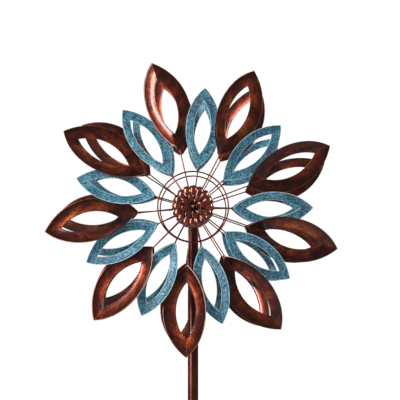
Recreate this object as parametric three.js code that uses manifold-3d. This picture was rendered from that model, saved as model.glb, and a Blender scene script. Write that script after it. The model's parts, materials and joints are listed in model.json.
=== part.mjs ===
// A two-rotor garden wind spinner on a stake. Two wheels of pierced metal petals, one in front of the pole and
// one behind it, turn on ball bearings on one fixed horizontal axle. The rear wheel mirrors the front one, so the
// wind turns the two against each other.
//
// Millimetres. +Z is up, -Y is the front of the sculpture, and the origin is where the pole's axis meets the
// ground. "Out" is the distance from the pole's axis along the axle, forwards for the front wheel and backwards
// for the rear one.
import * as THREE from "three";
import { mergeVertices } from "three/addons/utils/BufferGeometryUtils.js";
import Module from "manifold-3d";

const wasm = await Module();
wasm.setup();

// ---- Driving dimensions ----------------------------------------------------------------------------------
const HUB_HEIGHT = 1400; // ground to the axle
const GAP = 0.3; // clearance kept between pieces that touch

// The wheels. Angles are in degrees, anticlockwise as seen from the front.
const PETAL_PAIRS = 9; // long copper petals in a wheel, with a short blue one between each two
const REST_TURN = { front: 3.5, rear: 2 }; // how far each wheel stands turned
const WIRE_RADIUS = 1.3;
const WIRE_INNER = 15; // where the wires start, on the hub flange
const WIRE_OVERLAP = 14; // how far a wire runs on behind its petal
const WIRE_PLANE = 70; // out distance of the wires' centres
const RING_RADIUS = 71.7; // the wire hoop that ties the wires together
const RING_WIRE_RADIUS = 1.5;
const RING_LIFT = 2.2; // the hoop lies on the outer face of the wires
const PETAL_LIFT = 2.6; // and so do the petals
const SAG = 2.6; // the most that the wires bend aside under the petals' weight
const SAG_TOWARDS = -77; // the way they bend
const STRAY = {
  // the spokes that stand askew
  front: {
    blue_1: -3, copper_2: 1, copper_3: -0.5, copper_4: 1.5, blue_5: -1, copper_5: 0.5, blue_7: -2, blue_8: -1,
    copper_9: -0.5,
  },
  rear: {
    blue_1: 1, copper_1: -1.5, blue_2: -0.5, blue_3: 2, copper_3: 0.5, blue_4: -0.5, copper_4: -2, blue_5: -0.5,
    copper_5: -1, blue_6: -1.5, blue_7: -1.5, copper_9: 1,
  },
};

// The petals: leaf-shaped frames of thin sheet, creased along the middle and dished like a spoon. A petal is
// turned about its own length by its pitch, to catch the wind, and swung aside from its wire by its lean.
const SHEET = 1;
const CREASE_SLOPE = 13; // rise of the sheet beside the crease
const COPPER = {
  kind: "copper", root: 119, length: 185.5, halfWidth: 47, band: 25, edgeSlope: 17, pitch: 23,
  lean: { front: 5, rear: 2.3 },
  color: 0x5b2417,
};
const BLUE = {
  kind: "blue", root: 82, length: 161.5, halfWidth: 35, band: 17, edgeSlope: 16, pitch: 14.5,
  lean: { front: 2.4, rear: 0 },
  color: 0x4f93b0,
};
const PETAL_STEPS = 8; // facets along one side of a petal

// The axle, its ball bearings and the hubs.
const AXLE_RADIUS = 4;
const AXLE_SHOULDER_RADIUS = 6;
const AXLE_SHOULDER = 44; // out distance of the shoulder
const AXLE_END = 92;
const BEARING_RADIUS = 11;
const BEARING_WIDTH = 7;
const BEARING_OUTS = { inner: AXLE_SHOULDER + GAP, outer: 78 };
const NUT = { out: 85.4, thickness: 6.2, acrossFlats: 13 };
const HUB = { start: 45, end: 86, radius: 13.5, flangeRadius: 24, flangeThickness: 2.5 };

// The flower rosette that covers each hub.
const ROSETTE = { plate: 94, sheet: 1.2, radius: 44, lobes: 16, holeRadius: 3, bossRadius: 15, bossStart: 80 };
const INNER_FLOWER = { plate: 95.5, sheet: 1.2, radius: 22, lobes: 8 };

// The pole, in three tubes that plug together, and its head.
const TUBE = { radius: 11, wall: 1.2, spigotRadius: 9.5, spigotLength: 50, taper: 4 };
const JOINT_HEIGHTS = { lower: 465, upper: 930 };
const POLE_TOP = HUB_HEIGHT - 12;
const HEAD = { radius: 10, halfLength: 30, spigotLength: 58 };
const SCREW = { shankRadius: 2.5, headRadius: 4.5, headHeight: 3, reach: 6, drop: 25 };

// The ground stake: a flat cross to step on, with a prong at each end and a stub for the pole.
const STAKE = { plate: 5, armLength: 104, armWidth: 16, prongRadius: 4.5, prongDepth: 200, point: 30, stubTop: 70 };

// ---- Colours ---------------------------------------------------------------------------------------------
const COPPER_BROWN = 0x4a1d13;
const STEEL = 0x9a9a9c;
const SKINS = {
  painted: new THREE.MeshStandardMaterial({ color: COPPER_BROWN, roughness: 0.38, metalness: 0.75 }),
  rosette: new THREE.MeshStandardMaterial({ color: 0x6a2415, roughness: 0.22, metalness: 0.9 }),
  steel: new THREE.MeshStandardMaterial({ color: STEEL, roughness: 0.35, metalness: 1 }),
  copper: new THREE.MeshStandardMaterial({ color: COPPER.color, roughness: 0.36, metalness: 0.8 }),
  blue: new THREE.MeshStandardMaterial({ color: BLUE.color, roughness: 0.5, metalness: 0.5 }),
};

const rad = THREE.MathUtils.degToRad;

// ---- Solids: only joining and cutting is done on them ------------------------------------------------------
function solidOf(geometry) {
  const bare = geometry.clone();
  bare.deleteAttribute("normal");
  bare.deleteAttribute("uv");
  const merged = mergeVertices(bare, 1e-3);
  const vertProperties = merged.getAttribute("position").array;
  const triVerts = new Uint32Array(merged.index.array);
  return new wasm.Manifold(new wasm.Mesh({ numProp: 3, vertProperties, triVerts }));
}

function geometryOf(solid) {
  const mesh = solid.getMesh();
  const geometry = new THREE.BufferGeometry();
  geometry.setAttribute("position", new THREE.BufferAttribute(mesh.vertProperties.slice(), 3));
  geometry.setIndex(new THREE.BufferAttribute(mesh.triVerts.slice(), 1));
  return geometry;
}

const joined = (...geometries) => geometryOf(geometries.map(solidOf).reduce((a, b) => a.add(b)));
const cutBy = (geometry, ...tools) => geometryOf([geometry, ...tools].map(solidOf).reduce((a, b) => a.subtract(b)));

// ---- Small shape helpers -----------------------------------------------------------------------------------
// A shape turned about the axle's direction, from [radius, out] points.
function turned(profile, segments = 24) {
  return new THREE.LatheGeometry(profile.map(([r, out]) => new THREE.Vector2(r, out)), segments);
}

// The same about the vertical, from [radius, height] points.
const turnedUpright = (profile, segments) => turned(profile, segments).rotateX(Math.PI / 2);

// A round bar from one distance to another along X.
function barAlongX(radius, from, to, sides) {
  const bar = new THREE.CylinderGeometry(radius, radius, to - from, sides);
  return bar.rotateZ(-Math.PI / 2).translate((from + to) / 2, 0, 0);
}

const barAlongY = (radius, from, to, sides) => barAlongX(radius, from, to, sides).rotateZ(Math.PI / 2);
const barAlongZ = (radius, from, to, sides) => barAlongX(radius, from, to, sides).rotateY(-Math.PI / 2);

// A closed ring of sections: each section is a loop of [x, y, z] points.
function ringOfSections(sections) {
  const size = sections[0].length;
  const index = [];
  sections.forEach((_, i) => {
    const here = i * size;
    const next = ((i + 1) % sections.length) * size;
    for (let j = 0; j < size; j++) {
      const k = (j + 1) % size;
      index.push(here + j, here + k, next + j, next + j, here + k, next + k);
    }
  });
  const geometry = new THREE.BufferGeometry();
  geometry.setAttribute("position", new THREE.Float32BufferAttribute(sections.flat(2), 3));
  geometry.setIndex(index);
  return geometry;
}

function mesh(name, geometry, skin) {
  const made = new THREE.Mesh(geometry, skin);
  made.name = name;
  return made;
}

// ---- Petals ------------------------------------------------------------------------------------------------
// A petal lies along +X from its root, with its width along Z and its dished face towards -Y. Its outline is two
// circular arcs, and the opening is bounded by two more about the same centres, one band width inside them.
function petalGeometry({ length, halfWidth, band, edgeSlope }) {
  const half = length / 2;
  const radius = (half * half + halfWidth * halfWidth) / (2 * halfWidth);
  const centre = radius - halfWidth;
  const sweep = Math.asin(half / radius);
  const openSweep = Math.acos(centre / (radius - band));
  const creaseSlope = Math.tan(rad(CREASE_SLOPE));
  const curve = (Math.tan(rad(edgeSlope)) - creaseSlope) / (2 * halfWidth);

  const onSheet = (x, z, layer) => [x, (layer * SHEET) / 2 - creaseSlope * Math.abs(z) - curve * z * z, z];
  const sectionAt = (step, side) => {
    const share = (2 * step) / PETAL_STEPS - 1;
    const at = (r, angle) => [half + r * Math.sin(angle), side * (r * Math.cos(angle) - centre)];
    const [outerX, outerZ] = at(radius, sweep * share);
    const [innerX, innerZ] = at(radius - band, openSweep * share);
    const across = [0, 0.5, 1].map((t) => [outerX + (innerX - outerX) * t, outerZ + (innerZ - outerZ) * t]);
    const face = across.map(([x, z]) => onSheet(x, z, -1));
    const back = across.reverse().map(([x, z]) => onSheet(x, z, 1));
    return [...face, ...back];
  };
  const sections = [];
  for (let step = 0; step < PETAL_STEPS; step++) sections.push(sectionAt(step, 1));
  for (let step = PETAL_STEPS; step > 0; step--) sections.push(sectionAt(step, -1));
  return ringOfSections(sections);
}

// ---- A wheel: its wires and hoop, and its petals ----------------------------------------------------------
function spokesOf(side) {
  return Array.from({ length: 2 * PETAL_PAIRS }, (_, i) => {
    const petal = i % 2 ? COPPER : BLUE;
    const name = petal.kind + "_" + (Math.floor(i / 2) + 1);
    const even = REST_TURN[side] + (i * 180) / PETAL_PAIRS;
    const sag = SAG * Math.sin(rad(SAG_TOWARDS - even));
    return { petal, name, angle: even + sag + (STRAY[side][name] ?? 0) };
  });
}

// The wires and the hoop are welded into one frame. hand is 1 for the front wheel and -1 for the rear one.
function wireFrameGeometry(spokes, hand) {
  const hoop = new THREE.TorusGeometry(RING_RADIUS, RING_WIRE_RADIUS, 6, 36).rotateX(Math.PI / 2);
  hoop.translate(0, -hand * RING_LIFT, 0);
  const wires = spokes.map(({ petal, angle }) => {
    const wire = barAlongX(WIRE_RADIUS, WIRE_INNER, petal.root + WIRE_OVERLAP, 6);
    return wire.rotateY(-rad(angle));
  });
  return joined(hoop, ...wires);
}

// A petal's anticlockwise edge, as seen from the front, comes outwards in both wheels. The petals are the same, so
// in the rear wheel they are turned over.
function wheel(side, hand) {
  const spokes = spokesOf(side);
  const group = new THREE.Group();
  group.position.set(0, -hand * WIRE_PLANE, HUB_HEIGHT);
  group.add(mesh(side + "_wire_frame", wireFrameGeometry(spokes, hand), SKINS.painted));
  for (const { petal, name, angle } of spokes) {
    const spoke = new THREE.Group();
    spoke.rotation.y = -rad(angle);
    const seat = new THREE.Group();
    seat.position.set(petal.root, -hand * PETAL_LIFT, 0);
    seat.rotation.y = -rad(petal.lean[side]);
    const sheet = mesh(side + "_" + name.replace("_", "_petal_"), petalGeometry(petal), SKINS[petal.kind]);
    sheet.rotation.x = hand > 0 ? rad(petal.pitch) : Math.PI - rad(petal.pitch);
    seat.add(sheet);
    spoke.add(seat);
    group.add(spoke);
  }
  return group;
}

// ---- The hub of a wheel, in out distances along +Y --------------------------------------------------------
function hubGeometry() {
  const bore = BEARING_RADIUS + GAP;
  const flangeEnd = WIRE_PLANE - WIRE_RADIUS - GAP; // the wires stand against it
  const flangeStart = flangeEnd - HUB.flangeThickness;
  return turned([
    [bore, HUB.start],
    [HUB.radius, HUB.start],
    [HUB.radius, flangeStart],
    [HUB.flangeRadius, flangeStart],
    [HUB.flangeRadius, flangeEnd],
    [HUB.radius, flangeEnd],
    [HUB.radius, HUB.end],
    [bore, HUB.end],
    [bore, HUB.start],
  ]);
}

function bearingGeometry(out) {
  const bore = AXLE_RADIUS + GAP;
  const end = out + BEARING_WIDTH;
  return turned([[bore, out], [BEARING_RADIUS, out], [BEARING_RADIUS, end], [bore, end], [bore, out]], 20);
}

function nutGeometry() {
  const outline = new THREE.Shape();
  const corner = NUT.acrossFlats / Math.sqrt(3);
  const sides = Array.from({ length: 6 }, (_, i) => (i * Math.PI) / 3);
  outline.setFromPoints(sides.map((turn) => new THREE.Vector2(corner * Math.cos(turn), corner * Math.sin(turn))));
  outline.holes.push(new THREE.Path().absarc(0, 0, AXLE_RADIUS + GAP, 0, 2 * Math.PI, true));
  const nut = new THREE.ExtrudeGeometry(outline, { depth: NUT.thickness, bevelEnabled: false, curveSegments: 12 });
  return nut.rotateX(-Math.PI / 2).translate(0, NUT.out, 0);
}

// A sheet flower about the axle: rings of [radius, out, lobe depth] from its centre hole to its edge, with ridges
// at the lobes and valleys between them.
function flowerGeometry(rings, lobes, sheet) {
  const sections = [];
  for (let i = 0; i < 2 * lobes; i++) {
    const angle = (i * Math.PI) / lobes;
    const ridge = i % 2 ? -1 : 1;
    const point = ([radius, out, depth], layer) => {
      const r = radius + (ridge * depth) / 2;
      return [r * Math.cos(angle), out + (ridge * depth) / 2 + layer * sheet, r * Math.sin(angle)];
    };
    sections.push([...rings.map((ring) => point(ring, 0)), ...[...rings].reverse().map((ring) => point(ring, 1))]);
  }
  return ringOfSections(sections);
}

function rosetteGeometry() {
  const { plate, sheet, radius, lobes, holeRadius, bossRadius, bossStart } = ROSETTE;
  const rings = [
    [holeRadius, plate, 0],
    [bossRadius, plate, 0],
    [0.6 * radius, plate + 3, 1.5],
    [0.82 * radius, plate + 0.5, 3],
    [0.97 * radius, plate - 8, 2.2],
  ];
  const bossBore = HUB.radius + GAP;
  const bossEnd = plate + sheet / 2;
  const boss = turned([
    [bossBore, bossStart],
    [bossRadius, bossStart],
    [bossRadius, bossEnd],
    [bossBore, bossEnd],
    [bossBore, bossStart],
  ]);
  return joined(flowerGeometry(rings, lobes, sheet), boss);
}

function innerFlowerGeometry() {
  const { plate, sheet, radius, lobes } = INNER_FLOWER;
  const rings = [[ROSETTE.holeRadius, plate, 0], [0.5 * radius, plate, 0], [0.96 * radius, plate + 3, 2.2]];
  return flowerGeometry(rings, lobes, sheet);
}

// The domed rivet that holds the layers of the rosette together.
function buttonGeometry() {
  const back = ROSETTE.plate - GAP;
  const face = INNER_FLOWER.plate + INNER_FLOWER.sheet + GAP;
  const shank = ROSETTE.holeRadius - GAP;
  const washer = [[0, back - 1], [4.5, back - 1], [4.5, back], [shank, back]];
  const dome = [[shank, face], [7, face], [7, face + 1.5], [5.6, face + 4.6], [3.2, face + 6.4], [0, face + 7]];
  return turned([...washer, ...dome], 16);
}

function hub(side, hand) {
  const group = new THREE.Group();
  group.position.z = HUB_HEIGHT;
  group.rotation.z = hand > 0 ? Math.PI : 0;
  group.add(mesh(side + "_hub", hubGeometry(), SKINS.painted));
  for (const [place, out] of Object.entries(BEARING_OUTS)) {
    group.add(mesh(side + "_" + place + "_bearing", bearingGeometry(out), SKINS.steel));
  }
  group.add(mesh(side + "_axle_nut", nutGeometry(), SKINS.steel));
  group.add(mesh(side + "_rosette", rosetteGeometry(), SKINS.rosette));
  group.add(mesh(side + "_inner_flower", innerFlowerGeometry(), SKINS.rosette));
  group.add(mesh(side + "_rosette_button", buttonGeometry(), SKINS.rosette));
  return group;
}

// ---- The axle and the pole --------------------------------------------------------------------------------
function axleGeometry() {
  return turned([
    [0, -AXLE_END],
    [AXLE_RADIUS, -AXLE_END],
    [AXLE_RADIUS, -AXLE_SHOULDER],
    [AXLE_SHOULDER_RADIUS, -AXLE_SHOULDER],
    [AXLE_SHOULDER_RADIUS, AXLE_SHOULDER],
    [AXLE_RADIUS, AXLE_SHOULDER],
    [AXLE_RADIUS, AXLE_END],
    [0, AXLE_END],
  ], 16);
}

// A short cross tube for the axle, on a spigot that plugs into the top of the pole.
function headGeometry() {
  const tube = barAlongY(HEAD.radius, -HEAD.halfLength, HEAD.halfLength, 24);
  const spigot = barAlongZ(TUBE.spigotRadius, -HEAD.spigotLength, 0, 20);
  const bore = barAlongY(AXLE_SHOULDER_RADIUS + GAP, -HEAD.halfLength - 1, HEAD.halfLength + 1, 16);
  return cutBy(joined(tube, spigot), bore);
}

// A tube from bottom to top; one with a spigot is swaged down above its top, to enter the next tube.
function tubeGeometry(bottom, top, hasSpigot) {
  const { radius, wall, spigotRadius, spigotLength, taper } = TUBE;
  const swaged = [
    [radius, top],
    [spigotRadius, top + taper],
    [spigotRadius, top + spigotLength],
    [spigotRadius - wall, top + spigotLength],
    [spigotRadius - wall, top + taper],
    [radius - wall, top - taper / 2],
  ];
  const plain = [[radius, top], [radius - wall, top]];
  const foot = [[radius - wall, bottom], [radius, bottom]];
  return turnedUpright([...foot, ...(hasSpigot ? swaged : plain), foot[0]], 20);
}

// The hole and the screw that lock a joint stand on the back of the pole.
const screwHole = (height) => barAlongY(SCREW.shankRadius + GAP, 5, 13, 12).translate(0, 0, height);

function screwGeometry(height) {
  const { shankRadius, headRadius, headHeight, reach } = SCREW;
  const seat = TUBE.radius + GAP;
  const top = seat + headHeight;
  const shank = [[0, reach], [shankRadius, reach], [shankRadius, seat]];
  const head = [[headRadius, seat], [headRadius, top - headHeight / 2], [headRadius * 0.7, top], [0, top]];
  return turned([...shank, ...head], 12).translate(0, 0, height);
}

function pole() {
  const { lower, upper } = JOINT_HEIGHTS;
  const foot = STAKE.plate + GAP;
  const seatAbove = TUBE.taper + GAP; // a tube rests where the taper below it has ended
  const holes = { lower: lower + SCREW.drop, upper: upper + SCREW.drop };
  const group = new THREE.Group();
  const lowerHole = screwHole(holes.lower);
  const upperHole = screwHole(holes.upper);
  const tubes = {
    lower_pole: cutBy(tubeGeometry(foot, lower, true), lowerHole),
    middle_pole: cutBy(tubeGeometry(lower + seatAbove, upper, true), lowerHole, upperHole),
    upper_pole: cutBy(tubeGeometry(upper + seatAbove, POLE_TOP, false), upperHole),
  };
  for (const [name, tube] of Object.entries(tubes)) group.add(mesh(name, tube, SKINS.painted));
  for (const [place, height] of Object.entries(holes)) {
    group.add(mesh(place + "_joint_screw", screwGeometry(height), SKINS.steel));
  }
  group.add(mesh("pole_head", headGeometry().translate(0, 0, HUB_HEIGHT), SKINS.painted));
  group.add(mesh("axle", axleGeometry().translate(0, 0, HUB_HEIGHT), SKINS.steel));
  return group;
}

// ---- The ground stake -------------------------------------------------------------------------------------
function stakeGeometry() {
  const { plate, armLength, armWidth, prongRadius, prongDepth, point, stubTop } = STAKE;
  const parts = [barAlongZ(TUBE.spigotRadius, plate - 1, stubTop, 20)];
  const arm = new THREE.BoxGeometry(armLength, armWidth, plate).translate(0, 0, plate / 2);
  for (const turn of [45, 135]) parts.push(arm.clone().rotateZ(rad(turn)));
  const prongProfile = [[0, -prongDepth], [prongRadius, point - prongDepth], [prongRadius, plate], [0, plate]];
  for (const turn of [45, 135, 225, 315]) {
    const reach = armLength / 2 + prongRadius - 1; // welded across the end of its arm
    parts.push(turnedUpright(prongProfile, 10).translate(reach, 0, 0).rotateZ(rad(turn)));
  }
  return joined(...parts);
}

// ---- The whole sculpture ----------------------------------------------------------------------------------
const sculpture = new THREE.Group();
sculpture.add(mesh("ground_stake", stakeGeometry(), SKINS.painted));
sculpture.add(pole());
sculpture.add(wheel("front", 1), hub("front", 1));
sculpture.add(wheel("rear", -1), hub("rear", -1));

export default sculpture;
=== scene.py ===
"""The looks of a two-rotor garden wind spinner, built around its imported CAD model.

Metres, +Z up, -Y is the front. The axle runs along Y at the joints' height. "Out" is the distance from the
pole's axis along the axle: forwards for the front wheel, backwards for the rear one.
"""
import json
import math

import bpy
import bmesh
import numpy as np
from mathutils import Matrix, Vector, noise


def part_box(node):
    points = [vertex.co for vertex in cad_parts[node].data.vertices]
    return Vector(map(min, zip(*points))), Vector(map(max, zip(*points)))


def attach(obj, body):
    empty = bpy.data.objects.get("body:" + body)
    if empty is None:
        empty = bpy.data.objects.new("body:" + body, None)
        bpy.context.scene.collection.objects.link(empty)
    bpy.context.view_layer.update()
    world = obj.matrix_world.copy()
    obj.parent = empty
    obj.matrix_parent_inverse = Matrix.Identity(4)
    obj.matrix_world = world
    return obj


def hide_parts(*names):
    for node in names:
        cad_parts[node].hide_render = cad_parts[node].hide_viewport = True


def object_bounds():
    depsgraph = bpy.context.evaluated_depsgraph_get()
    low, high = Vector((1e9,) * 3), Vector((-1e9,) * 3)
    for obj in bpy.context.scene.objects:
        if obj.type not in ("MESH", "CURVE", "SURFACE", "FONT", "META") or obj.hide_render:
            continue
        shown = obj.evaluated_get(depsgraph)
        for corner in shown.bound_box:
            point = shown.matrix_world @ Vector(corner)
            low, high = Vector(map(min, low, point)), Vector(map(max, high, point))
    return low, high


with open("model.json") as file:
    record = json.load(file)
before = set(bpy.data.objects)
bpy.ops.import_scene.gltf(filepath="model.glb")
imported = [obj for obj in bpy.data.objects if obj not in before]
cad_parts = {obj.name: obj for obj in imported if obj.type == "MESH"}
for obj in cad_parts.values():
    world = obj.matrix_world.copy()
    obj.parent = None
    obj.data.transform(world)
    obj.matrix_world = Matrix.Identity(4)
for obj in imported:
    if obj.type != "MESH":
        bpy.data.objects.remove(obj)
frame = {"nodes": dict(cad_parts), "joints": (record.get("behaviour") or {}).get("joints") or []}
cad_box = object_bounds()

MM = 0.001
HUB = Vector(frame["joints"][0]["pos_m"])
HANDS = {"front": 1, "rear": -1}  # which way is out from the pole: forwards or backwards

# ---- Driving dimensions, in metres and degrees, as the CAD model has them ------------------------
PETAL_PAIRS = 9  # long copper petals in a wheel, with a short blue one between each two
WIRE_PLANE = 70 * MM  # out distance of the wires' centres
WIRE_RADIUS = 1.3 * MM
WIRE_INNER = 15 * MM  # where the wires start, on the hub flange
WIRE_OVERLAP = 14 * MM  # how far a wire runs on behind its petal
HOOP_RADIUS = 71.7 * MM
HOOP_WIRE_RADIUS = 1.5 * MM
HOOP_LIFT = 2.2 * MM  # the hoop and the petals lie on the outer face of the wires
PETAL_LIFT = 2.6 * MM
CREASE_SLOPE = 13  # rise of a petal's sheet beside its crease
PETALS = {
    "copper": dict(half_width=47 * MM, band=25 * MM, edge_slope=17, pitch=23),
    "blue": dict(half_width=35 * MM, band=17 * MM, edge_slope=16, pitch=14.5),
}
ROSETTE_PLATE = 94 * MM  # out distance of the rosette's plate
HUB_RADIUS = 13.5 * MM
FLANGE_THICKNESS = 2.5 * MM
BOSS_START = 80 * MM  # out distance where the rosette's boss starts
AXLE_RADIUS = 4 * MM
AXLE_SHOULDER = 44 * MM  # out distance of the shoulders
AXLE_SHOULDER_RADIUS = 6 * MM
POLE_RADIUS = 11 * MM
POLE_WALL = 1.2 * MM
SPIGOT_RADIUS = 9.5 * MM
SPIGOT_LENGTH = 50 * MM
HEAD_RADIUS = 10 * MM  # of the pole head's cross tube
STAKE_PLATE = 5 * MM  # thickness of the stake's cross
STAKE_ARM = 104 * MM
STAKE_WIDTH = 16 * MM
PRONG_RADIUS = 4.5 * MM

# ---- What the finer pieces add -------------------------------------------------------------------
SHEET = 1.2 * MM  # thickness of a finished petal
EDGE_ROUNDING = 0.5 * MM
BOW = 1.1 * MM  # how far the pressing hollows a band between its edges
WAVINESS = 0.4 * MM
WAVES = 28  # how close together a petal's waves are
RIM = 0.49  # a point further than this from the band's middle is on its edge
HOOP_WELD = (2.1 * MM, 2.4 * MM, 2.1 * MM)
PETAL_WELD = (2.3 * MM, 1.7 * MM, 2.3 * MM)
SEAM_BEAD = 1.1 * MM
VALLEY_SHADE_DEPTH = 1.2 * MM  # a rosette valley this deep gets the painted shade at its darkest
HEART_SHADE_LIFT = 0.6  # how much lighter than in a valley the painted shade on a flower's face is at the edge of its heart
HEX = math.pi / 3  # the turn from one corner of a hexagon to the next

# ---- Fineness of the meshes ----------------------------------------------------------------------
PETAL_STEPS = 40
BAND_STEPS = 10
LOBE_STEPS = 16
ROUND = 64


# ---- Mesh helpers --------------------------------------------------------------------------------
def ring_faces(rows, columns, close_rows=False):
    """Quads over a grid of points whose rows are closed, numbered row by row."""
    faces = []
    for i in range(rows if close_rows else rows - 1):
        for j in range(columns):
            a, b = i * columns, ((i + 1) % rows) * columns
            k = (j + 1) % columns
            faces.append((a + j, a + k, b + k, b + j))
    return faces


def joined(parts):
    """Several (points, faces) as one."""
    points, faces, start = [], [], 0
    for more_points, more_faces in parts:
        points.append(np.asarray(more_points, float))
        faces += [tuple(start + i for i in face) for face in more_faces]
        start += len(more_points)
    return np.concatenate(points), faces


def make_piece(name, points, faces, body, material, replaces=(), sharp=35, attributes=None):
    """An object from points and faces, smooth but for edges sharper than that angle, riding on a CAD body.
    An attribute is one number or one vector for each point, for the material to read."""
    mesh = bpy.data.meshes.new(name)
    mesh.from_pydata([tuple(p) for p in points], [], faces)
    for key, values in (attributes or {}).items():
        kind, field = ("FLOAT_VECTOR", "vector") if np.ndim(values) == 2 else ("FLOAT", "value")
        layer = mesh.attributes.new(key, kind, "POINT")
        layer.data.foreach_set(field, np.ravel(values).astype(np.float32))
    edited = bmesh.new()
    edited.from_mesh(mesh)
    bmesh.ops.recalc_face_normals(edited, faces=edited.faces)
    limit = math.radians(sharp)
    for face in edited.faces:
        face.smooth = True
    for edge in edited.edges:
        edge.smooth = len(edge.link_faces) == 2 and edge.calc_face_angle() < limit
    edited.to_mesh(mesh)
    edited.free()
    mesh.materials.append(material)
    piece = bpy.data.objects.new(name, mesh)
    bpy.context.scene.collection.objects.link(piece)
    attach(piece, body)
    if replaces:
        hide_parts(*replaces)


def turned(profile, radius_of=None, segments=ROUND):
    """A solid of revolution about the axle's direction, from (radius, along) points that start and end on the
    axis or close on themselves. radius_of(radius, angle) may make it less than round."""
    closed = profile[0] == profile[-1]
    rings = profile[:-1] if closed else profile
    angles = np.arange(segments) * 2 * math.pi / segments
    points = []
    for radius, along in rings:
        for angle in angles:
            r = radius_of(radius, angle) if radius_of else radius
            points.append((r * math.cos(angle), along, r * math.sin(angle)))
    return np.array(points), ring_faces(len(rings), segments, close_rows=closed)


def chamfered(profile, cut):
    """The profile with each corner that isn't on the axis cut by that much."""
    closed = profile[0] == profile[-1]
    corners = profile[:-1] if closed else profile
    made = []
    for i, corner in enumerate(corners):
        before, here, after = (Vector(corners[k % len(corners)]) for k in (i - 1, i, i + 1))
        if (not closed and i in (0, len(corners) - 1)) or here.x < 1e-6:
            made.append(tuple(here))
            continue
        for other in (before, after):
            reach = min(cut, 0.4 * (other - here).length)
            made.append(tuple(here + (other - here).normalized() * reach))
    return made + made[:1] if closed else made


def placed(shape, matrix):
    """Points and faces, moved by a matrix."""
    points, faces = shape
    return np.asarray(points) @ np.array(matrix.to_3x3()).T + np.array(matrix.translation), faces


def upright(shape):
    """A shape made along Y, stood up along Z."""
    return placed(shape, Matrix.Rotation(math.pi / 2, 4, "X"))


def tube(path, radius, sides=14):
    """A round wire along a path, with rounded ends."""
    path = [Vector(p) for p in path]
    shares = (0.05, 0.5, 0.85)
    sizes = [radius * math.sqrt(1 - (1 - share) ** 2) for share in shares]
    rings = []
    start, end = (path[1] - path[0]).normalized(), (path[-1] - path[-2]).normalized()
    for share, size in zip(shares, sizes):
        rings.append((path[0] - start * radius * (1 - share), start, size))
    for i in range(len(path)):
        before, after = path[max(i - 1, 0)], path[min(i + 1, len(path) - 1)]
        rings.append((path[i], (after - before).normalized(), radius))
    for share, size in zip(shares[::-1], sizes[::-1]):
        rings.append((path[-1] + end * radius * (1 - share), end, size))
    points = []
    for centre, direction, size in rings:
        side = direction.cross(Vector((0, 1, 0))).normalized()
        rise = side.cross(direction)
        for j in range(sides):
            angle = 2 * math.pi * j / sides
            points.append(centre + size * (side * math.cos(angle) + rise * math.sin(angle)))
    faces = ring_faces(len(rings), sides)
    faces += [tuple(range(sides)), tuple(range((len(rings) - 1) * sides, len(rings) * sides))]
    return np.array(points), faces


def hoop(radius, wire, segments=144, sides=14):
    """A closed ring of round wire about the axle's direction."""
    points = []
    for i in range(segments):
        angle = 2 * math.pi * i / segments
        for j in range(sides):
            turn = 2 * math.pi * j / sides
            r = radius + wire * math.cos(turn)
            points.append((r * math.cos(angle), wire * math.sin(turn), r * math.sin(angle)))
    return np.array(points), ring_faces(segments, sides, close_rows=True)


def weld_bead(centre, size, seed):
    """A small lump of weld metal, uneven, stretched by size along X, Y and Z."""
    rows, columns = 9, 12
    unevenness, lumps = 0.22, 1.7
    points = []
    for i in range(rows):
        rise = math.pi * (i + 0.5) / rows
        for j in range(columns):
            turn = 2 * math.pi * j / columns
            at = Vector((math.sin(rise) * math.cos(turn), math.cos(rise), math.sin(rise) * math.sin(turn)))
            lump = 1 + unevenness * noise.noise(at * lumps + Vector((seed, 3 * seed, 0)))
            points.append([c + lump * s * a for c, s, a in zip(centre, size, at)])
    faces = ring_faces(rows, columns)
    faces += [tuple(range(columns)), tuple(range((rows - 1) * columns, rows * columns))]
    return np.array(points), faces


# ---- Material helpers ----------------------------------------------------------------------------
def colour(code):
    """A linear colour from a web colour code."""
    parts = [int(code[i : i + 2], 16) / 255 for i in (1, 3, 5)]
    return (*[c / 12.92 if c <= 0.04045 else ((c + 0.055) / 1.055) ** 2.4 for c in parts], 1)


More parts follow.
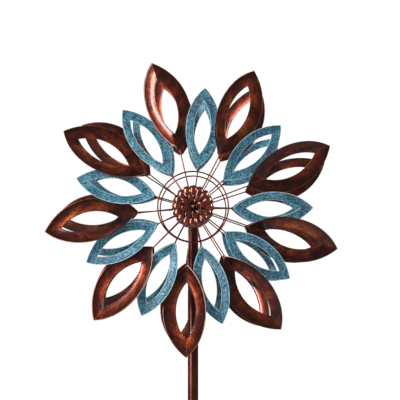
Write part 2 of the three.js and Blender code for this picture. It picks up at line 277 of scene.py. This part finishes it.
class Shader:
    """A material's node tree, with short calls to add to it."""

    def __init__(self, name, **constants):
        self.material = bpy.data.materials.new(name)
        self.material.use_nodes = True
        self.tree = self.material.node_tree
        self.surface = self.tree.nodes["Principled BSDF"]
        for key, value in constants.items():
            self.surface.inputs[key.replace("_", " ")].default_value = value

    def put(self, value, socket):
        """Link an output to the socket, or set the socket's own value."""
        if isinstance(value, bpy.types.NodeSocket):
            self.tree.links.new(value, socket)
        else:
            socket.default_value = value

    def node(self, kind, inputs=(), **settings):
        made = self.tree.nodes.new(kind)
        for key, value in settings.items():
            setattr(made, key, value)
        for key, value in dict(inputs).items():
            self.put(value, made.inputs[key])
        return made

    def place(self):
        """The place on the object, in metres."""
        return self.node("ShaderNodeTexCoord").outputs["Object"]

    def attribute(self, name, output="Fac"):
        return self.node("ShaderNodeAttribute", attribute_name=name).outputs[output]

    def stretched(self, vector, scale):
        return self.node("ShaderNodeMapping", {"Vector": vector, "Scale": scale}).outputs["Vector"]

    def noise(self, vector, scale, detail=4, roughness=0.55, distortion=0):
        inputs = {"Vector": vector, "Scale": scale, "Detail": detail, "Roughness": roughness}
        inputs["Distortion"] = distortion
        return self.node("ShaderNodeTexNoise", inputs).outputs["Fac"]

    def ramp(self, factor, *stops):
        """Colours at places from 0 to 1."""
        made = self.node("ShaderNodeValToRGB", {"Fac": factor})
        elements = made.color_ramp.elements
        while len(elements) < len(stops):
            elements.new(0.5)
        for element, (place, value) in zip(elements, stops):
            element.position = place
            element.color = colour(value) if isinstance(value, str) else (value, value, value, 1)
        return made.outputs["Color"]

    def blend(self, factor, a, b, mode="MIX"):
        made = self.node("ShaderNodeMix", data_type="RGBA", blend_type=mode)
        for value, socket in ((factor, made.inputs[0]), (a, made.inputs[6]), (b, made.inputs[7])):
            self.put(value, socket)
        return made.outputs[2]

    def math(self, operation, a, b):
        made = self.node("ShaderNodeMath", operation=operation)
        self.put(a, made.inputs[0])
        self.put(b, made.inputs[1])
        return made.outputs[0]

    def bump(self, height, distance, strength):
        inputs = {"Height": height, "Distance": distance, "Strength": strength}
        self.put(self.node("ShaderNodeBump", inputs).outputs["Normal"], self.surface.inputs["Normal"])

    def finish(self, base, roughness):
        self.put(base, self.surface.inputs["Base Color"])
        self.put(roughness, self.surface.inputs["Roughness"])
        return self.material


# ---- Materials -----------------------------------------------------------------------------------
def copper_petal_material():
    """Flamed copper under a clear coat: near black in clouds, orange where the flame left it bare, with
    painted shade towards a band's outer edge, cut edges rubbed pale and given a painted highlight, and fine
    brushed grain along the band."""
    s = Shader("flamed_copper", Metallic=0.9, Coat_Weight=0.8, Coat_Roughness=0.1)
    place, band = s.place(), s.attribute("band", "Vector")
    clouds = s.noise(place, 20, detail=5, roughness=0.6, distortion=0.8)
    base = s.ramp(clouds, (0.36, "#3c1813"), (0.48, "#6e2a1b"), (0.58, "#a84423"), (0.70, "#d97a3c"))
    grain = s.noise(s.stretched(band, (60, 340, 60)), 1, detail=4, roughness=0.7)
    base = s.blend(0.85, base, s.ramp(grain, (0.36, 0.3), (0.64, 1.6)), "MULTIPLY")
    flecks = s.noise(place, 260, detail=3, roughness=0.7)
    base = s.blend(s.ramp(flecks, (0.56, 0.0), (0.64, 0.7)), base, colour("#1b0a07"))
    # painted shade: darker towards each band's outer edge, broken up by the flame clouds
    outer_share = s.attribute("outer_share")
    painted_edge_shade = s.math("ADD", outer_share, s.math("MULTIPLY", s.math("SUBTRACT", clouds, 0.5), 1.6))
    base = s.blend(s.ramp(painted_edge_shade, (0.35, 0.0), (0.95, 0.75)), base, colour("#2c100b"))
    # pale cut edges: rubbed wear plus a painted highlight along the edge
    base = s.blend(s.ramp(s.attribute("rim"), (0.45, 0.0), (0.9, 0.55)), base, colour("#a8654c"))
    s.bump(s.math("ADD", s.math("MULTIPLY", grain, 0.6), flecks), 0.0002, 0.6)
    return s.finish(base, s.ramp(s.noise(place, 60, detail=4), (0.3, 0.24), (0.7, 0.42)))


def blue_petal_material():
    """Blue-green patina, speckled navy and pale teal along the band, cut edges rubbed pale and given a
    painted highlight.
    """
    s = Shader("blue_patina", Metallic=0.2, Coat_Weight=0.2, Coat_Roughness=0.3)
    place, band = s.place(), s.attribute("band", "Vector")
    clouds = s.noise(place, 30, detail=5, roughness=0.62)
    base = s.ramp(clouds, (0.33, "#225d77"), (0.5, "#3a829d"), (0.68, "#68adc2"))
    speckle = s.noise(s.stretched(band, (160, 420, 190)), 1, detail=3, roughness=0.7)
    base = s.blend(s.ramp(speckle, (0.45, 1.0), (0.53, 0.0)), base, colour("#0a1c29"))
    light = s.noise(s.stretched(band, (200, 480, 210)), 1, detail=4, roughness=0.7, distortion=0.4)
    base = s.blend(s.ramp(light, (0.55, 0.0), (0.66, 0.75)), base, colour("#aed5df"))
    # pale cut edges: rubbed wear plus a painted highlight along the edge
    base = s.blend(s.ramp(s.attribute("rim"), (0.45, 0.0), (0.9, 0.7)), base, colour("#b9d6da"))
    s.bump(speckle, 0.0003, 0.7)
    return s.finish(base, s.ramp(speckle, (0.35, 0.6), (0.65, 0.4)))


def frame_material(name, dark, middle, light):
    """Glossy copper-brown paint with a bronze cast, rubbed a little lighter in places."""
    s = Shader(name, Metallic=0.85, Coat_Weight=0.4, Coat_Roughness=0.15)
    place = s.place()
    clouds = s.noise(s.stretched(place, (1, 1, 0.25)), 60, detail=5, roughness=0.6)
    base = s.ramp(clouds, (0.35, dark), (0.55, middle), (0.75, light))
    grain = s.noise(s.stretched(place, (700, 700, 60)), 1, detail=3)
    base = s.blend(0.4, base, s.ramp(grain, (0.3, 0.5), (0.7, 1.2)), "MULTIPLY")
    s.bump(grain, 0.00005, 0.4)
    return s.finish(base, s.ramp(clouds, (0.3, 0.2), (0.7, 0.34)))


def rosette_material():
    """Glossy dark copper lacquer, with painted shade turning it near black in the flower's valleys and heart.
    """
    s = Shader("rosette_lacquer", Metallic=0.95, Coat_Weight=1.0, Coat_Roughness=0.12, Coat_IOR=1.8)
    place = s.place()
    clouds = s.noise(place, 90, detail=4)
    base = s.ramp(clouds, (0.3, "#6c2010"), (0.5, "#9c3a1c"), (0.72, "#c05a30"))
    # painted shade in the valleys and the heart, read from the flower's valley attribute
    base = s.blend(s.ramp(s.attribute("valley"), (0.14, 0.0), (0.5, 0.95)), base, colour("#120504"))
    s.bump(s.noise(place, 500, detail=2), 0.0001, 0.4)
    return s.finish(base, s.ramp(clouds, (0.3, 0.16), (0.7, 0.3)))


def steel_material():
    """Zinc-plated steel, faintly turned."""
    s = Shader("zinc_steel", Metallic=1.0)
    place = s.place()
    rings = s.noise(s.stretched(place, (150, 2500, 150)), 1, detail=3)
    base = s.ramp(rings, (0.3, "#8d8f92"), (0.7, "#c2c4c6"))
    s.bump(rings, 0.00005, 0.5)
    return s.finish(base, s.ramp(s.noise(place, 200), (0.3, 0.28), (0.7, 0.42)))


COPPER = copper_petal_material()
BLUE = blue_petal_material()
PAINT = frame_material("frame_paint", "#34120c", "#5c2518", "#823d26")
WIRE_PAINT = frame_material("wire_paint", "#5e2012", "#8e3b21", "#b45c36")
LACQUER = rosette_material()
STEEL = steel_material()


# ---- Petals --------------------------------------------------------------------------------------
def petal_shape(length, half_width, band, edge_slope, pitch):
    """A petal along +X from its root, outer face towards -Y: its points and its faces, then for each point
    whether it is on a cut edge, how near the outer edge it is, and its place along and across the band."""
    half = length / 2
    radius = (half**2 + half_width**2) / (2 * half_width)
    centre = radius - half_width
    sweep, open_sweep = math.asin(half / radius), math.acos(centre / (radius - band))
    crease = math.tan(math.radians(CREASE_SLOPE))
    curve = (math.tan(math.radians(edge_slope)) - crease) / (2 * half_width)
    rounding = EDGE_ROUNDING / band

    across_band = np.linspace(0, 1, BAND_STEPS + 1)
    section = [(t, -0.5) for t in across_band] + [(1 + rounding, -0.2), (1 + rounding, 0.2)]
    section += [(t, 0.5) for t in across_band[::-1]] + [(-rounding, 0.2), (-rounding, -0.2)]
    shares = [-math.cos(math.pi * i / PETAL_STEPS) for i in range(PETAL_STEPS + 1)]
    stations = [(share, 1) for share in shares[:-1]] + [(share, -1) for share in shares[:0:-1]]
    points, rim, outer_share, place = [], [], [], []
    for share, side in stations:
        outer = arc_point(half, centre, radius, sweep * share, side)
        inner = arc_point(half, centre, radius - band, open_sweep * share, side)
        for t, layer in section:
            x, z = outer + (inner - outer) * t
            hollow = crease * abs(z) + curve * z * z - BOW * max(0, 1 - (2 * t - 1) ** 2)
            points.append((x, layer * SHEET - hollow, z))
            rim.append(float(abs(t - 0.5) > RIM))
            outer_share.append(1 - min(max(t, 0), 1))
            place.append((radius * sweep * share, side * t * band, side * 0.1))
    pitched = placed((points, []), Matrix.Rotation(math.radians(pitch), 4, "X"))[0]
    faces = ring_faces(len(stations), len(section), close_rows=True)
    return pitched, faces, np.array(rim), np.array(outer_share), np.array(place)


def arc_point(half, centre, radius, angle, side):
    """A point of a petal's outline, on the arc on one side of its crease."""
    return np.array([half + radius * math.sin(angle), side * (radius * math.cos(angle) - centre)])


def petal_ends(node):
    """The root and the tip of a CAD petal."""
    corners = np.array([v.co for v in frame["nodes"][node].data.vertices])
    reach = np.hypot(corners[:, 0] - HUB.x, corners[:, 2] - HUB.z)
    tolerance = 0.6 * MM
    near, far = reach < reach.min() + tolerance, reach > reach.max() - tolerance
    return Vector(corners[near].mean(0)), Vector(corners[far].mean(0))


def make_petal(side, kind, number):
    """A sheet petal in the place of its CAD node. Returns where it sits on its spoke."""
    node = f"{side}_{kind}_petal_{number}"
    root, tip = petal_ends(node)
    along = Vector((tip.x - root.x, 0, tip.z - root.z))
    points, faces, rim, outer_share, place = petal_shape(along.length, **PETALS[kind])
    seed = Vector((number * 7.3, HANDS[side] * 11.1, len(kind) * 5.7))
    for p in points:  # the press leaves a faint waviness
        p[1] += WAVINESS * noise.noise(Vector(p) * WAVES + seed)
    along.normalize()
    turn = np.array((along, (0, HANDS[side], 0), along.cross(Vector((0, 1, 0)))))
    seat = Vector((root.x, -HANDS[side] * (WIRE_PLANE + PETAL_LIFT), root.z))
    attributes = {"rim": rim, "outer_share": outer_share, "band": place + np.array(seed)}
    material = COPPER if kind == "copper" else BLUE
    make_piece(f"{node}_sheet", points @ turn + np.array(seat), faces, f"{side}_rotor",
               material, [node], 60, attributes)
    return seat


# ---- Spokes and hoop -----------------------------------------------------------------------------
def make_wires(side, seats):
    """The spokes run out through the hoop to behind their petals, with a weld at each of the two."""
    hand = HANDS[side]
    hub = Vector((HUB.x, -hand * WIRE_PLANE, HUB.z))
    out = Vector((0, -hand, 0))
    wires, beads = [], []
    for i, seat in enumerate(seats):
        root = seat - out * PETAL_LIFT
        ray = (root - hub).normalized()
        path = [hub + ray * WIRE_INNER, hub + ray * HOOP_RADIUS, root + ray * WIRE_OVERLAP]
        wires.append(tube(path, WIRE_RADIUS))
        at_hoop = hub + ray * HOOP_RADIUS + out * HOOP_LIFT / 2
        at_petal = root + ray * 1.5 * MM + out * PETAL_LIFT * 0.55
        beads.append(weld_bead(at_hoop, HOOP_WELD, i + 20 * hand))
        beads.append(weld_bead(at_petal, PETAL_WELD, i + 50 * hand))
    ring = placed(hoop(HOOP_RADIUS, HOOP_WIRE_RADIUS), Matrix.Translation(hub + out * HOOP_LIFT))
    points, faces = joined(wires + [ring])
    make_piece(f"{side}_wires_and_hoop", points, faces, f"{side}_rotor", WIRE_PAINT,
               [f"{side}_wire_frame"], 50)
    points, faces = joined(beads)
    make_piece(f"{side}_weld_beads", points, faces, f"{side}_rotor", WIRE_PAINT,
               sharp=80)


# ---- The rosette ---------------------------------------------------------------------------------
def flower(rings, lobes, phase, thickness, heart, tip_cut, pillow):
    """A closed sheet flower about the axle, with a lobe at the angle phase. rings are (radius, out, depth of
    the valleys), painted shade darkens the valleys and the face inside heart, and tip_cut is how far the rim
    draws in between two lobes.
    A lobe's section is round at a pillow of 0.5, and fuller below that."""
    count = lobes * LOBE_STEPS
    face, back, valley = [], [], []
    for k, (radius, out, depth) in enumerate(rings):
        share = k / (len(rings) - 1)
        for i in range(count):
            u = 2 * ((i + 0.5) % LOBE_STEPS) / LOBE_STEPS - 1
            fall = 1 - (1 - u * u) ** pillow
            angle = 2 * math.pi * (i + 0.5 - LOBE_STEPS / 2) / count + math.radians(phase)
            r = radius - tip_cut * abs(u * share) ** 3
            level = out - depth * fall
            face.append((r * math.cos(angle), level, r * math.sin(angle)))
            back.append((r * math.cos(angle), level - thickness, r * math.sin(angle)))
            # painted shade: darkest down in each valley and towards the heart
            valley.append(max(fall * min(1, depth / VALLEY_SHADE_DEPTH), min(1, heart / radius - HEART_SHADE_LIFT)))
    rows = len(rings)
    grid = ring_faces(rows, count)
    faces = grid + [tuple(rows * count + i for i in reversed(quad)) for quad in grid]
    for start in (0, (rows - 1) * count):
        for i in range(count):
            j = (i + 1) % count
            faces.append((start + i, start + j, rows * count + start + j, rows * count + start + i))
    return np.array(face + back), faces, np.array(valley + valley)


def smooth_rings(knots, count):
    """Rings between the knots, along a smooth curve through them."""
    knots = np.array(knots, float)
    spans = len(knots) - 1
    made = []
    for s in np.linspace(0, spans, count):
        i = min(int(s), spans - 1)
        t = s - i
        p0, p1, p2, p3 = (knots[min(max(k, 0), spans)] for k in (i - 1, i, i + 1, i + 2))
        square, cube = 2 * p0 - 5 * p1 + 4 * p2 - p3, 3 * p1 - p0 - 3 * p2 + p3
        made.append(0.5 * (2 * p1 + (p2 - p0) * t + square * t**2 + cube * t**3))
    return made


def on_axle(points, side):
    """Points given about the Y axis and out from the pole, put where that wheel's side of the axle is."""
    turn = np.array((1, -HANDS[side], 1))
    return np.asarray(points) * turn + np.array((HUB.x, 0, HUB.z))


def make_flower_layer(side, name, knots, lift, count, node=(), **shape):
    """One sheet of the rosette, from (radius, out, valley depth) in millimetres above the plate."""
    rings = []
    for radius, out, depth in smooth_rings(knots, count):
        rings.append((radius * MM, ROSETTE_PLATE + (out + lift) * MM, depth * MM))
    points, faces, valley = flower(rings, **shape)
    # the valley attribute carries the painted shade for the lacquer
    make_piece(f"{side}_{name}", on_axle(points, side), faces, f"{side}_rotor", LACQUER,
               node, 70, {"valley": valley})


def make_rosette(side):
    """Sixteen round flutes, eight pointed petals on them, a heart of six more, and a domed rivet."""
    flutes = [
        (3.2, 0, 0), (13, -1.6, 0.3), (20, -0.8, 1.6), (25, 0.6, 2.8), (30, 1.8, 3.6), (34, 1.6, 4.0),
        (37.5, 0.2, 4.2), (40.5, -2.2, 4.0), (42.6, -5.6, 3.4), (43.2, -9.4, 3.0),
    ]
    make_flower_layer(side, "rosette_flutes", flutes, 1.2, 48, [f"{side}_rosette"], lobes=16, phase=-1.5,
                      thickness=1.1 * MM, heart=20 * MM, tip_cut=3.4 * MM, pillow=0.36)
    cups = [(3.2, 0, 0), (7, 0.2, 0.6), (12, 1.4, 1.8), (17, 2.8, 2.4), (21, 3.2, 2.4), (24.5, 2.4, 1.6)]
    make_flower_layer(side, "inner_petals", cups, 2.6, 24, [f"{side}_inner_flower"], lobes=8, phase=12,
                      thickness=0.9 * MM, heart=11 * MM, tip_cut=13 * MM, pillow=0.45)
    bud = [(2.6, 0, 0), (5, 0.8, 0.5), (8, 2.6, 1.2), (10, 4.6, 1.0)]
    make_flower_layer(side, "heart_petals", bud, 3.9, 14, lobes=6, phase=5, thickness=0.8 * MM,
                      heart=8 * MM, tip_cut=4 * MM, pillow=0.9)
    make_rivet(side)


def make_rivet(side):
    """The domed rivet: its head on the bud, its shank through the flowers, and its washer behind them."""
    face, radius, shank_radius = ROSETTE_PLATE + 4.9 * MM, 4.2 * MM, 2.4 * MM
    washer, back = ROSETTE_PLATE - 0.5 * MM, ROSETTE_PLATE - 1.2 * MM
    angles = np.linspace(0, 1.5, 11)
    profile = [(radius * math.sin(a), face + radius * math.cos(a)) for a in angles]
    profile += [(4.3 * MM, face), (shank_radius, face), (shank_radius, washer)]
    profile += [(4.4 * MM, washer), (4.4 * MM, back), (0, back)]
    points, faces = turned(profile, segments=40)
    make_piece(f"{side}_button_dome", on_axle(points, side), faces, f"{side}_rotor",
               LACQUER, [f"{side}_rosette_button"], 40)


# ---- Hubs, bearings and nuts ---------------------------------------------------------------------
def span_of(node):
    """The least and the greatest out distance of a node, and its radius about the axle."""
    low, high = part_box(node)
    return min(abs(low.y), abs(high.y)), max(abs(low.y), abs(high.y)), (high.x - low.x) / 2


def make_hub(side):
    """The hub's sleeve with its flange, and the rosette's boss that sits on the sleeve."""
    start, end, flange = span_of(f"{side}_hub")
    bore = 11.3 * MM
    flange_end = WIRE_PLANE - WIRE_RADIUS - 0.3 * MM
    flange_start = flange_end - FLANGE_THICKNESS
    profile = [
        (bore, start), (HUB_RADIUS, start), (HUB_RADIUS, flange_start), (flange, flange_start),
        (flange, flange_end), (HUB_RADIUS, flange_end), (HUB_RADIUS, end), (bore, end), (bore, start),
    ]
    points, faces = turned(chamfered(profile, 0.6 * MM))
    make_piece(f"{side}_hub_sleeve", on_axle(points, side), faces, f"{side}_rotor", PAINT,
               [f"{side}_hub"])
    inner, outer, top = 13.8 * MM, 15 * MM, ROSETTE_PLATE - 0.2 * MM
    profile = [(inner, BOSS_START), (outer, BOSS_START), (outer, top), (inner, top), (inner, BOSS_START)]
    points, faces = turned(chamfered(profile, 0.4 * MM))
    make_piece(f"{side}_rosette_boss", on_axle(points, side), faces, f"{side}_rotor",
               LACQUER)


def make_bearing(side, place):
    """A ball bearing, with its shields sunk between its two races."""
    node = f"{side}_{place}_bearing"
    start, end, radius = span_of(node)
    bore, groove, middle = 4.3 * MM, 0.4 * MM, (start + end) / 2
    profile = [
        (bore, start), (bore + 1.8 * MM, start), (bore + 1.9 * MM, start + groove),
        (radius - 2 * MM, start + groove), (radius - 1.9 * MM, start), (radius, start), (radius, middle),
        (radius, end), (radius - 1.9 * MM, end), (radius - 2 * MM, end - groove),
        (bore + 1.9 * MM, end - groove), (bore + 1.8 * MM, end), (bore, end), (bore, start),
    ]
    points, faces = turned(chamfered(profile, 0.15 * MM))
    make_piece(f"{node}_shielded", on_axle(points, side), faces, "stand", STEEL, [node], 25)


def make_nut(side):
    """A hexagon nut with its corners turned down at both faces."""
    node = f"{side}_axle_nut"
    start, end, corner = span_of(node)
    flat = corner * math.cos(HEX / 2)

    def hexagon(radius, angle):
        if radius < flat * 0.8:
            return radius
        return min(radius, flat / math.cos((angle + HEX / 2) % HEX - HEX / 2))

    bore, lead, rise = 4.3 * MM, 0.4 * MM, 1.0 * MM
    profile = [
        (bore + lead, start), (flat * 0.98, start), (corner, start + rise), (corner, end - rise),
        (flat * 0.98, end), (bore + lead, end), (bore, end - lead), (bore, start + lead),
        (bore + lead, start),
    ]
    points, faces = turned(profile, hexagon, 72)
    make_piece(f"{node}_hexagon", on_axle(points, side), faces, "stand", STEEL, [node], 25)


# ---- The pole and the axle -----------------------------------------------------------------------
def make_axle():
    """The axle's rod, thicker between its two shoulders."""
    _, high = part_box("axle")
    profile = [(0, -high.y), (AXLE_RADIUS, -high.y), (AXLE_RADIUS, -AXLE_SHOULDER)]
    profile += [(AXLE_SHOULDER_RADIUS, -AXLE_SHOULDER), (AXLE_SHOULDER_RADIUS, AXLE_SHOULDER)]
    profile += [(AXLE_RADIUS, AXLE_SHOULDER), (AXLE_RADIUS, high.y), (0, high.y)]
    points, faces = turned(chamfered(profile, 0.5 * MM))
    place = np.array((HUB.x, 0, HUB.z))
    make_piece("axle_rod", points + place, faces, "stand", STEEL, ["axle"])


def make_pole_tube(node, has_spigot):
    """A pole tube, swaged down at its top where it goes into the next one."""
    low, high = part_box(node)
    bottom, top, edge = low.z, high.z, 0.4 * MM
    bore, spigot_bore = POLE_RADIUS - POLE_WALL, SPIGOT_RADIUS - POLE_WALL
    profile = [(bore, bottom), (POLE_RADIUS - edge, bottom), (POLE_RADIUS, bottom + 0.5 * MM)]
    if has_spigot:
        shoulder = top - SPIGOT_LENGTH
        profile += [
            (POLE_RADIUS, shoulder), (POLE_RADIUS - 0.35 * MM, shoulder + 1.0 * MM),
            (SPIGOT_RADIUS + 0.35 * MM, shoulder + 3.2 * MM), (SPIGOT_RADIUS, shoulder + 4.2 * MM),
            (SPIGOT_RADIUS, top - edge), (SPIGOT_RADIUS - edge, top), (spigot_bore, top),
            (spigot_bore, shoulder + 4 * MM), (bore, shoulder - 2 * MM),
        ]
    else:
        profile += [(POLE_RADIUS, top - 0.5 * MM), (POLE_RADIUS - edge, top), (bore, top)]
    points, faces = upright(turned(profile + profile[:1]))
    make_piece(f"{node}_tube", points, faces, "stand", PAINT, [node])


def make_pole_head():
    """The cross tube for the axle on its spigot, with the weld that runs round where they meet."""
    low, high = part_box("pole_head")
    bore, end = 6.3 * MM, high.y
    profile = [(bore, -end), (HEAD_RADIUS, -end), (HEAD_RADIUS, end), (bore, end), (bore, -end)]
    cross = turned(chamfered(profile, 0.7 * MM))
    cross = (cross[0] + np.array(HUB), cross[1])
    top = HUB.z - 7 * MM
    profile = [(0, low.z), (SPIGOT_RADIUS, low.z), (SPIGOT_RADIUS, top), (0, top)]
    stem = upright(turned(chamfered(profile, 0.6 * MM)))
    seam = []
    count = 96
    for i in range(count):
        angle = 2 * math.pi * i / count
        x, y = SPIGOT_RADIUS * math.cos(angle), SPIGOT_RADIUS * math.sin(angle)
        drop = math.sqrt(max(HEAD_RADIUS**2 - x * x, 0))
        seam.append(weld_bead((x * 1.04, y * 1.04, HUB.z - drop - 0.3 * MM), (SEAM_BEAD,) * 3, i))
    points, faces = joined([cross, stem] + seam)
    make_piece("pole_head_cross", points, faces, "stand", PAINT, ["pole_head"])


def make_screw(place):
    """A screw that locks a pole joint, with a domed head and a hexagon socket."""
    node = f"{place}_joint_screw"
    low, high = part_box(node)
    centre = (low + high) / 2
    head, seat, shank, socket = (high.x - low.x) / 2, 11.3 * MM, 2.5 * MM, 1.6 * MM
    edge, floor = seat + 0.6 * MM, seat + 0.9 * MM

    def recess(radius, angle):
        if radius > socket * 1.05 or radius < 1e-6:
            return radius
        return radius / math.cos((angle + HEX / 2) % HEX - HEX / 2)

    crown = [(head * math.cos(a), edge + (high.y - edge) * math.sin(a)) for a in np.linspace(0, 1.15, 9)]
    profile = [(0, low.y), (2.1 * MM, low.y), (shank, low.y + 0.5 * MM), (shank, seat), (head, seat)] + crown
    profile += [(socket * 1.06, high.y - 0.05 * MM), (socket, high.y - 0.25 * MM)]
    profile += [(socket, floor), (0, floor)]
    points, faces = turned(profile, recess, 48)
    points += np.array((centre.x, 0, centre.z))
    make_piece(f"{node}_socket_head", points, faces, "stand", STEEL, [node], 30)


# ---- The ground stake ----------------------------------------------------------------------------
def bar(length, width, thickness, cut):
    """A flat bar about the origin along X, with cut edges."""
    profile = []
    for sx, sy in ((1, 1), (-1, 1), (-1, -1), (1, -1)):
        corner = Vector((sx * length / 2, sy * width / 2))
        ends = [corner - Vector((sx * cut, 0)), corner - Vector((0, sy * cut))]
        profile += ends[::-1] if sx * sy > 0 else ends
    rows = []
    for z, inset in ((0, cut), (cut, 0), (thickness - cut, 0), (thickness, cut)):
        for p in profile:
            rows.append((p.x - math.copysign(inset, p.x), p.y - math.copysign(inset, p.y), z))
    count = len(profile)
    faces = ring_faces(4, count) + [tuple(range(count)), tuple(range(3 * count, 4 * count))]
    return np.array(rows), faces


def prong(point, degrees):
    """A prong at the end of an arm, down to the height of its point, with the welds at the arm's faces."""
    reach = STAKE_ARM / 2 + PRONG_RADIUS - 1 * MM
    angle = math.radians(degrees)
    centre = Vector((reach * math.cos(angle), reach * math.sin(angle), 0))
    edge = 0.8 * MM
    profile = [
        (0, point), (edge, point + 1 * MM), (PRONG_RADIUS * 0.98, point + 29 * MM),
        (PRONG_RADIUS, point + 31 * MM), (PRONG_RADIUS, STAKE_PLATE - edge),
        (PRONG_RADIUS - edge, STAKE_PLATE), (0, STAKE_PLATE),
    ]
    parts = [placed(upright(turned(profile, segments=32)), Matrix.Translation(centre))]
    for turn in range(-70, 71, 10):
        t = math.radians(degrees + 180 + turn)
        x, y = centre.x + PRONG_RADIUS * math.cos(t), centre.y + PRONG_RADIUS * math.sin(t)
        for z in (0.2 * MM, STAKE_PLATE - 0.2 * MM):
            parts.append(weld_bead((x, y, z), (SEAM_BEAD, SEAM_BEAD, 0.9 * MM), turn + degrees))
    return parts


def make_stake():
    """The step-on cross with its stub, and a prong at the end of each arm."""
    low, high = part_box("ground_stake")
    foot = 1 * MM
    profile = [(0, foot), (SPIGOT_RADIUS, foot), (SPIGOT_RADIUS, high.z), (0, high.z)]
    parts = [upright(turned(chamfered(profile, 0.8 * MM)))]
    for degrees in (45, 135):
        arm = bar(STAKE_ARM, STAKE_WIDTH, STAKE_PLATE, 0.6 * MM)
        parts.append(placed(arm, Matrix.Rotation(math.radians(degrees), 4, "Z")))
    for degrees in (45, 135, 225, 315):
        parts += prong(low.z, degrees)
    points, faces = joined(parts)
    make_piece("ground_stake_cross", points, faces, "stand", PAINT, ["ground_stake"])


# ---- Everything ----------------------------------------------------------------------------------
for side in HANDS:
    make_wires(side, [make_petal(side, kind, number + 1) for number in range(PETAL_PAIRS) for kind in PETALS])
    make_rosette(side)
    make_hub(side)
    make_nut(side)
    for place in ("inner", "outer"):
        make_bearing(side, place)
make_axle()
make_pole_head()
make_pole_tube("lower_pole", True)
make_pole_tube("middle_pole", True)
make_pole_tube("upper_pole", False)
for place in ("lower", "upper"):
    make_screw(place)
make_stake()


# ---- Studio --------------------------------------------------------------------------------------
def make_floor():
    """A pale round floor level with the prongs' points, fading out at its rim and faint in reflections."""
    low, _ = cad_box
    radius, count = 3.6, 96
    angles = np.linspace(0, 2 * math.pi, count, endpoint=False)
    rim = [(radius * math.cos(a), radius * math.sin(a), low.z) for a in angles]
    mesh = bpy.data.meshes.new("studio_floor")
    mesh.from_pydata(rim, [], [tuple(range(count))])
    s = Shader("studio_floor")
    distance = s.node("ShaderNodeVectorMath", {0: s.place()}, operation="LENGTH").outputs["Value"]
    fade = s.ramp(s.math("DIVIDE", distance, radius), (0.35, 1.0), (0.95, 0.0))
    glossy = s.node("ShaderNodeLightPath").outputs["Is Glossy Ray"]
    dimmed = s.math("SUBTRACT", 1.0, s.math("MULTIPLY", glossy, 0.85))
    s.put(s.math("MULTIPLY", fade, dimmed), s.surface.inputs["Alpha"])
    dust = s.ramp(s.noise(s.place(), 3), (0.3, 0.86), (0.7, 0.9))
    mesh.materials.append(s.finish(dust, 0.9))
    floor = bpy.data.objects.new("studio_floor", mesh)
    bpy.context.scene.collection.objects.link(floor)


def make_softbox(name, place, size, power, glossy=True):
    """A rectangular lamp turned towards the wheels, itself unseen. Only a glossy one shows in reflections."""
    light = bpy.data.lights.new(name, "AREA")
    light.shape, light.size, light.size_y, light.energy = "RECTANGLE", size[0], size[1], power
    lamp = bpy.data.objects.new(name, light)
    lamp.location = place
    lamp.rotation_euler = (HUB - Vector(place)).to_track_quat("-Z", "Y").to_euler()
    lamp.visible_camera = False
    lamp.visible_glossy = glossy
    bpy.context.scene.collection.objects.link(lamp)


def make_world():
    """White behind the object, soft fill on it, and dim in its reflections, where the softboxes shape it."""
    world = bpy.data.worlds.new("studio")
    world.use_nodes = True
    tree = world.node_tree
    tree.nodes.clear()
    paths = tree.nodes.new("ShaderNodeLightPath")
    shader = None
    for grey, ray in ((0.34, None), (0.16, "Is Glossy Ray"), (1.05, "Is Camera Ray")):
        background = tree.nodes.new("ShaderNodeBackground")
        background.inputs["Strength"].default_value = grey
        background.inputs["Color"].default_value = (1, 1, 1, 1)
        if ray:
            mix = tree.nodes.new("ShaderNodeMixShader")
            tree.links.new(paths.outputs[ray], mix.inputs[0])
            tree.links.new(shader, mix.inputs[1])
            tree.links.new(background.outputs[0], mix.inputs[2])
            shader = mix.outputs[0]
        else:
            shader = background.outputs[0]
    output = tree.nodes.new("ShaderNodeOutputWorld")
    tree.links.new(shader, output.inputs["Surface"])
    bpy.context.scene.world = world


def make_camera():
    """Level with the wheels' lower half and a little under two metres in front of the front wheel."""
    camera = bpy.data.cameras.new("camera")
    camera.sensor_width, camera.lens = 36, 83.3
    viewer = bpy.data.objects.new("camera", camera)
    viewer.location = (HUB.x, -1.947, HUB.z - 0.060)
    viewer.rotation_euler = (math.radians(90 + 2.25), 0, math.radians(-0.43))
    bpy.context.scene.collection.objects.link(viewer)
    bpy.context.scene.camera = viewer


make_floor()
make_world()
make_softbox("left_softbox", (-1.68, -1.46, 1.96), (0.85, 3.0), 60)
make_softbox("right_softbox", (1.80, -0.98, 2.45), (0.4, 1.1), 24)
make_softbox("top_softbox", (-0.1, -0.15, 3.8), (1.6, 1.2), 80, glossy=False)
make_softbox("rear_left_softbox", (-1.8, 1.5, 1.9), (1.0, 1.4), 50)
make_softbox("rear_right_softbox", (1.8, 1.4, 2.2), (1.0, 1.4), 50)
make_camera()
bpy.context.scene.view_settings.view_transform = "Standard"
